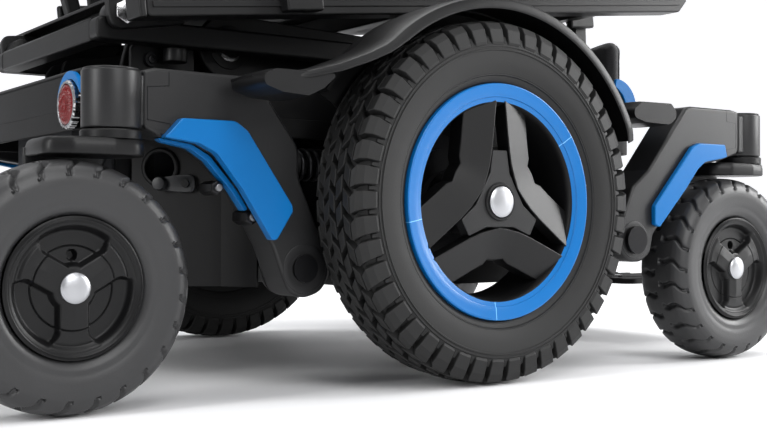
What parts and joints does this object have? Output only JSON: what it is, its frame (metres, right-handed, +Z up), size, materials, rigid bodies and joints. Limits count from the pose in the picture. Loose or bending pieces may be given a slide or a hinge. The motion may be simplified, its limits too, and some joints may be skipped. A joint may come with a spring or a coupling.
{
  "type": "power wheelchair",
  "caption": "Mid-wheel-drive power wheelchair with suspended caster arms, a rising and tilting seat, reclining back, headrest, elevating legrest and a joystick.",
  "frame": {"origin": "on the floor at the centre of the footprint, under the middle of the drive axle", "axes": "+X forward, +Y to the chair's left, +Z up"},
  "size_m": [1.025, 0.65, 1.1626],
  "materials": {
    "frame_black": "satin powder coat",
    "dark_plastic": "fine grain",
    "battery_case": "matt",
    "motor_metal": "dark cast",
    "lamp_white": "gloss",
    "lamp_red": "gloss",
    "spring_steel": "satin",
    "bright_steel": "polished",
    "lever_grey": "satin",
    "drive_rubber": "matt rubber",
    "caster_rubber": "satin rubber",
    "rim_black": "satin black",
    "accent_blue": "gloss blue",
    "hub_black": "satin",
    "arm_charcoal": "satin charcoal",
    "upholstery": "woven",
    "knob_black": "soft",
    "button_green": "gloss"
  },
  "bodies": {
    "base": {"chassis_frame": "frame_black", "battery_tray": "dark_plastic", "batteries": "battery_case", "body_cover": "dark_plastic", "side_panels": "dark_plastic", "power_module": "dark_plastic", "drive_motors": "motor_metal", "fenders": "dark_plastic", "head_lights": "lamp_white", "tail_lights": "lamp_red", "lift_bracket": "frame_black", "suspension_springs": "spring_steel", "base_fasteners": "bright_steel"},
    "release_lever_left": {"release_lever_left": "lever_grey"},
    "drive_wheel_left": {"drive_tyre_left": "drive_rubber", "drive_rim_left": "rim_black", "drive_hub_left": "hub_black", "rim_ring_left": "accent_blue"},
    "rear_arm_left": {"rear_arm_left": "arm_charcoal", "rear_trim_left": "accent_blue"},
    "rear_fork_left": {"rear_fork_left": "rim_black"},
    "rear_caster_left": {"rear_caster_tyre_left": "caster_rubber", "rear_caster_hub_left": "hub_black"},
    "front_arm_left": {"front_arm_left": "arm_charcoal", "front_trim_left": "accent_blue"},
    "front_fork_left": {"front_fork_left": "rim_black"},
    "front_caster_left": {"front_caster_tyre_left": "caster_rubber", "front_caster_hub_left": "hub_black"},
    "release_lever_right": {"release_lever_right": "lever_grey"},
    "drive_wheel_right": {"drive_tyre_right": "drive_rubber", "drive_rim_right": "rim_black", "drive_hub_right": "hub_black", "rim_ring_right": "accent_blue"},
    "rear_arm_right": {"rear_arm_right": "arm_charcoal", "rear_trim_right": "accent_blue"},
    "rear_fork_right": {"rear_fork_right": "rim_black"},
    "rear_caster_right": {"rear_caster_tyre_right": "caster_rubber", "rear_caster_hub_right": "hub_black"},
    "front_arm_right": {"front_arm_right": "arm_charcoal", "front_trim_right": "accent_blue"},
    "front_fork_right": {"front_fork_right": "rim_black"},
    "front_caster_right": {"front_caster_tyre_right": "caster_rubber", "front_caster_hub_right": "hub_black"},
    "link_upper": {"lift_link_upper": "frame_black"},
    "link_lower": {"lift_link_lower": "frame_black"},
    "platform": {"lift_platform": "frame_black", "tilt_actuator": "motor_metal"},
    "seat": {"seat_frame": "frame_black", "seat_cushion": "upholstery"},
    "back": {"back_frame": "frame_black", "back_cushion": "upholstery"},
    "headrest": {"headrest": "upholstery"},
    "leg_rest": {"leg_rest": "frame_black"},
    "foot_plate": {"foot_plate": "dark_plastic"},
    "armrest_left": {"armrest_left": "dark_plastic"},
    "armrest_right": {"armrest_right": "dark_plastic", "joystick_box": "dark_plastic"},
    "joystick_gimbal": {"joystick_gimbal": "bright_steel"},
    "joystick_lever": {"joystick_lever": "knob_black"},
    "power_button": {"power_button": "button_green"}
  },
  "joints": [
    {"name": "release_left", "type": "hinge", "parent": "base", "child": "release_lever_left", "pos_m": [-0.24688, 0.13571, 0.196], "axis": [-0.7385, 0.6743, 0], "range_deg": [0, 40]},
    {"name": "drive_wheel_left_spin", "type": "hinge", "parent": "base", "child": "drive_wheel_left", "pos_m": [0, 0.287, 0.178], "axis": [0, 1, 0], "continuous": true},
    {"name": "rear_arm_left_swing", "type": "hinge", "parent": "base", "child": "rear_arm_left", "pos_m": [-0.18, 0.225, 0.115], "axis": [0, 1, 0], "range_deg": [-5, 5], "stiffness_Nm_per_rad": 3000, "deforming": ["suspension_springs"]},
    {"name": "rear_fork_left_swivel", "type": "hinge", "parent": "rear_arm_left", "child": "rear_fork_left", "pos_m": [-0.366, 0.236, 0.25], "axis": [0, 0, 1], "continuous": true},
    {"name": "rear_caster_left_spin", "type": "hinge", "parent": "rear_fork_left", "child": "rear_caster_left", "pos_m": [-0.4075, 0.236, 0.105], "axis": [0, 1, 0], "continuous": true},
    {"name": "front_arm_left_swing", "type": "hinge", "parent": "base", "child": "front_arm_left", "pos_m": [0.205, 0.282, 0.139], "axis": [0, -1, 0], "range_deg": [-5, 5], "stiffness_Nm_per_rad": 3000, "deforming": ["suspension_springs"]},
    {"name": "front_fork_left_swivel", "type": "hinge", "parent": "front_arm_left", "child": "front_fork_left", "pos_m": [0.408, 0.283, 0.25], "axis": [0, 0, 1], "continuous": true},
    {"name": "front_caster_left_spin", "type": "hinge", "parent": "front_fork_left", "child": "front_caster_left", "pos_m": [0.3665, 0.283, 0.105], "axis": [0, 1, 0], "continuous": true},
    {"name": "release_right", "type": "hinge", "parent": "base", "child": "release_lever_right", "pos_m": [-0.24688, -0.13571, 0.196], "axis": [0.7385, 0.6743, 0], "range_deg": [0, 40]},
    {"name": "drive_wheel_right_spin", "type": "hinge", "parent": "base", "child": "drive_wheel_right", "pos_m": [0, -0.287, 0.178], "axis": [0, 1, 0], "continuous": true},
    {"name": "rear_arm_right_swing", "type": "hinge", "parent": "base", "child": "rear_arm_right", "pos_m": [-0.18, -0.225, 0.115], "axis": [0, 1, 0], "range_deg": [-5, 5], "stiffness_Nm_per_rad": 3000, "deforming": ["suspension_springs"]},
    {"name": "rear_fork_right_swivel", "type": "hinge", "parent": "rear_arm_right", "child": "rear_fork_right", "pos_m": [-0.366, -0.236, 0.25], "axis": [0, 0, 1], "continuous": true},
    {"name": "rear_caster_right_spin", "type": "hinge", "parent": "rear_fork_right", "child": "rear_caster_right", "pos_m": [-0.4075, -0.236, 0.105], "axis": [0, 1, 0], "continuous": true},
    {"name": "front_arm_right_swing", "type": "hinge", "parent": "base", "child": "front_arm_right", "pos_m": [0.205, -0.282, 0.139], "axis": [0, -1, 0], "range_deg": [-5, 5], "stiffness_Nm_per_rad": 3000, "deforming": ["suspension_springs"]},
    {"name": "front_fork_right_swivel", "type": "hinge", "parent": "front_arm_right", "child": "front_fork_right", "pos_m": [0.408, -0.283, 0.25], "axis": [0, 0, 1], "continuous": true},
    {"name": "front_caster_right_spin", "type": "hinge", "parent": "front_fork_right", "child": "front_caster_right", "pos_m": [0.3665, -0.283, 0.105], "axis": [0, 1, 0], "continuous": true},
    {"name": "lift_upper", "type": "hinge", "parent": "base", "child": "link_upper", "pos_m": [-0.19, 0, 0.3365], "axis": [0, -1, 0], "range_deg": [0, 45]},
    {"name": "lift_lower", "type": "hinge", "parent": "base", "child": "link_lower", "pos_m": [-0.13, 0, 0.314], "axis": [0, -1, 0], "range_deg": [0, 45]},
    {"name": "lift_level", "type": "hinge", "parent": "link_upper", "child": "platform", "pos_m": [0.15, 0, 0.3365], "axis": [0, -1, 0], "range_deg": [-45, 0]},
    {"name": "seat_tilt", "type": "hinge", "parent": "platform", "child": "seat", "pos_m": [-0.322, 0, 0.352], "axis": [0, -1, 0], "range_deg": [0, 45]},
    {"name": "back_recline", "type": "hinge", "parent": "seat", "child": "back", "pos_m": [-0.22267, 0, 0.40842], "axis": [0, -1, 0], "range_deg": [0, 70]},
    {"name": "headrest_height", "type": "slide", "parent": "back", "child": "headrest", "axis": [-0.2823, 0, 0.9593], "range_m": [0, 0.08]},
    {"name": "leg_rest_raise", "type": "hinge", "parent": "seat", "child": "leg_rest", "pos_m": [0.36314, 0, 0.43388], "axis": [0, -1, 0], "range_deg": [0, 60]},
    {"name": "foot_plate_flip", "type": "hinge", "parent": "leg_rest", "child": "foot_plate", "pos_m": [0.37514, 0, 0.097], "axis": [0, -1, 0], "range_deg": [0, 90]},
    {"name": "armrest_left_flip", "type": "hinge", "parent": "seat", "child": "armrest_left", "pos_m": [-0.20521, 0.2535, 0.61164], "axis": [0, -1, 0], "range_deg": [0, 85]},
    {"name": "armrest_right_flip", "type": "hinge", "parent": "seat", "child": "armrest_right", "pos_m": [-0.20521, -0.2535, 0.61164], "axis": [0, -1, 0], "range_deg": [0, 85]},
    {"name": "joystick_side", "type": "hinge", "parent": "armrest_right", "child": "joystick_gimbal", "pos_m": [0.16366, -0.272, 0.68722], "axis": [0.9938, 0, 0.1115], "range_deg": [-18, 18], "stiffness_Nm_per_rad": 0.3},
    {"name": "joystick_fore", "type": "hinge", "parent": "joystick_gimbal", "child": "joystick_lever", "pos_m": [0.16366, -0.272, 0.68722], "axis": [0, 1, 0], "range_deg": [-18, 18], "stiffness_Nm_per_rad": 0.3},
    {"name": "power_press", "type": "slide", "parent": "armrest_right", "child": "power_button", "axis": [0.1115, 0, -0.9938], "range_m": [0, 0.0015], "stiffness_N_per_m": 300}
  ],
  "couplings": [
    {"joint": "lift_lower", "follows": "lift_upper", "ratio": 1},
    {"joint": "lift_level", "follows": "lift_upper", "ratio": -1}
  ]
}
